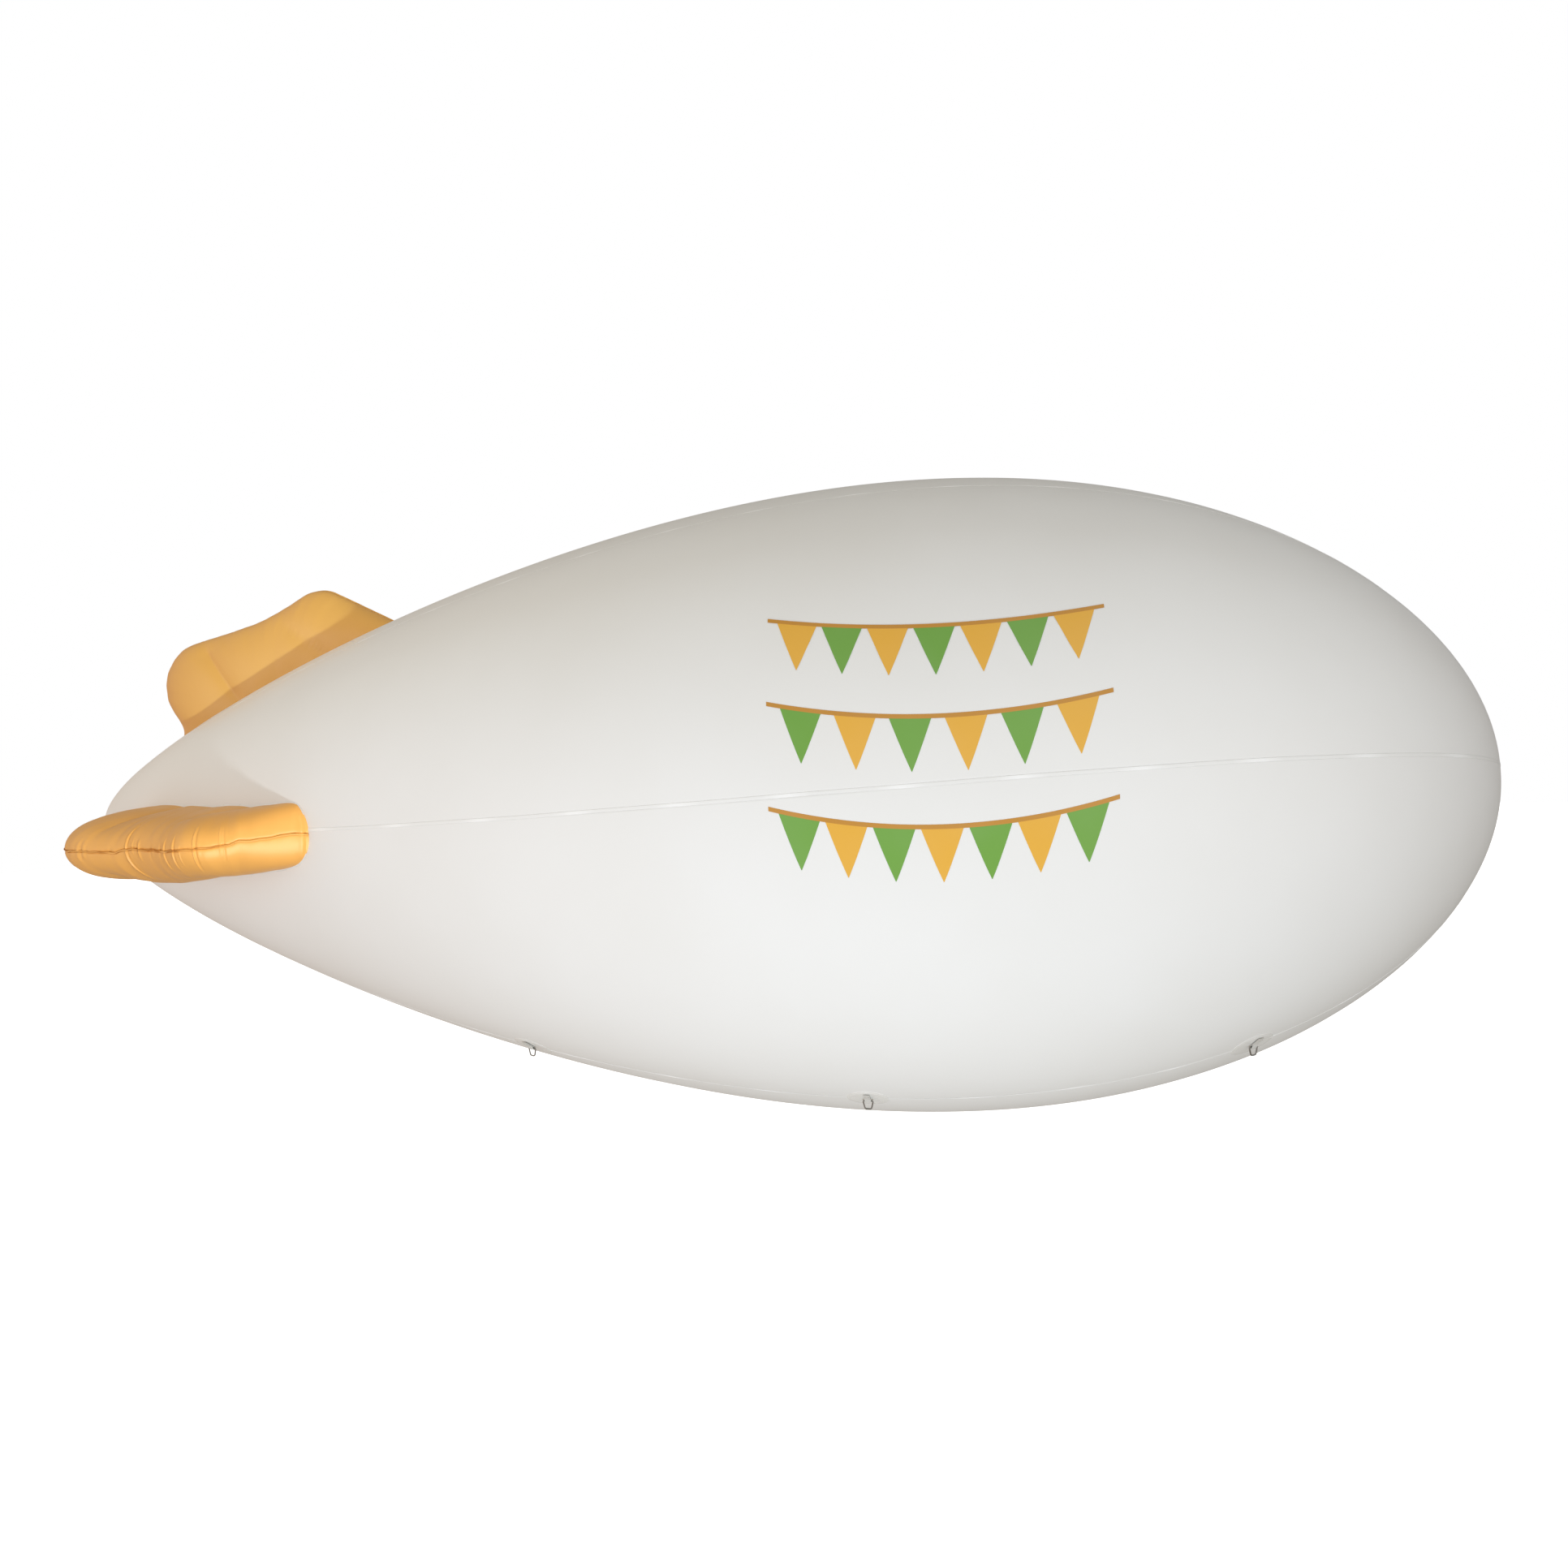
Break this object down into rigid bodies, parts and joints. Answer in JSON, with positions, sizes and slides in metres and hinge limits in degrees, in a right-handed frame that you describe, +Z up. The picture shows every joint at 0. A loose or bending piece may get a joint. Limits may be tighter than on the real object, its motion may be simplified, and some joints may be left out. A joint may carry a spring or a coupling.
{
  "type": "advertising blimp balloon",
  "caption": "Helium-filled advertising blimp: seamed teardrop envelope with tail fins, tether rings on patches along both lower flanks, and a lidded filling valve.",
  "frame": {"origin": "centre of buoyancy, on the envelope's axis 2.16 m behind the nose tip", "axes": "+X towards the nose, +Z up, starboard at -Y"},
  "size_m": [5.0036, 2.1574, 2.1574],
  "materials": {
    "envelope_film": "calendered white PVC film, satin gloss",
    "fin_film": "calendered golden-orange PVC film, satin gloss",
    "patch_film": "welded milky PVC film",
    "webbing": "woven white polyester webbing",
    "ring_steel": "nickel-plated round steel wire",
    "valve_moulding": "white moulded PVC"
  },
  "bodies": {
    "envelope": {"gore_upper_starboard": "envelope_film", "gore_top": "envelope_film", "gore_upper_port": "envelope_film", "gore_lower_port": "envelope_film", "gore_bottom": "envelope_film", "gore_lower_starboard": "envelope_film", "nose_cap": "envelope_film", "tail_cap": "envelope_film", "fin_starboard_upper_panel": "fin_film", "fin_starboard_lower_panel": "fin_film", "fin_top_port_panel": "fin_film", "fin_top_starboard_panel": "fin_film", "fin_port_upper_panel": "fin_film", "fin_port_lower_panel": "fin_film", "patch_starboard_fore": "patch_film", "webbing_starboard_fore": "webbing", "patch_starboard_mid": "patch_film", "webbing_starboard_mid": "webbing", "patch_starboard_aft": "patch_film", "webbing_starboard_aft": "webbing", "patch_port_fore": "patch_film", "webbing_port_fore": "webbing", "patch_port_mid": "patch_film", "webbing_port_mid": "webbing", "patch_port_aft": "patch_film", "webbing_port_aft": "webbing", "valve_flange": "patch_film", "valve_body": "valve_moulding"},
    "tether_ring_starboard_fore": {"ring_starboard_fore": "ring_steel"},
    "tether_ring_starboard_mid": {"ring_starboard_mid": "ring_steel"},
    "tether_ring_starboard_aft": {"ring_starboard_aft": "ring_steel"},
    "tether_ring_port_fore": {"ring_port_fore": "ring_steel"},
    "tether_ring_port_mid": {"ring_port_mid": "ring_steel"},
    "tether_ring_port_aft": {"ring_port_aft": "ring_steel"},
    "valve_lid": {"valve_lid": "valve_moulding"}
  },
  "joints": [
    {"name": "ring_swing_starboard_fore", "type": "hinge", "parent": "envelope", "child": "tether_ring_starboard_fore", "pos_m": [1.25731, -0.57488, -0.74136], "axis": [0.8655, 0.501, 0], "range_deg": [-113, 39]},
    {"name": "ring_swing_starboard_mid", "type": "hinge", "parent": "envelope", "child": "tether_ring_starboard_mid", "pos_m": [0.11465, -0.62126, -0.88691], "axis": [0.9962, -0.0874, 0], "range_deg": [-107, 45]},
    {"name": "ring_swing_starboard_aft", "type": "hinge", "parent": "envelope", "child": "tether_ring_starboard_aft", "pos_m": [-0.99677, -0.48011, -0.7594], "axis": [0.8959, -0.4443, 0], "range_deg": [-107, 45]},
    {"name": "ring_swing_port_fore", "type": "hinge", "parent": "envelope", "child": "tether_ring_port_fore", "pos_m": [1.25731, 0.35459, -0.86854], "axis": [-0.7292, 0.6843, 0], "range_deg": [-101, 51]},
    {"name": "ring_swing_port_mid", "type": "hinge", "parent": "envelope", "child": "tether_ring_port_mid", "pos_m": [0.11465, 0.45746, -0.98148], "axis": [-0.993, -0.1183, 0], "range_deg": [-97, 55]},
    {"name": "ring_swing_port_aft", "type": "hinge", "parent": "envelope", "child": "tether_ring_port_aft", "pos_m": [-0.99677, 0.41761, -0.79548], "axis": [-0.8687, -0.4953, 0], "range_deg": [-103, 49]},
    {"name": "valve_lid_hinge", "type": "hinge", "parent": "envelope", "child": "valve_lid", "pos_m": [-1.46862, 0.20436, -0.74918], "axis": [0.5883, 0.8086, 0], "range_deg": [0, 150]}
  ]
}
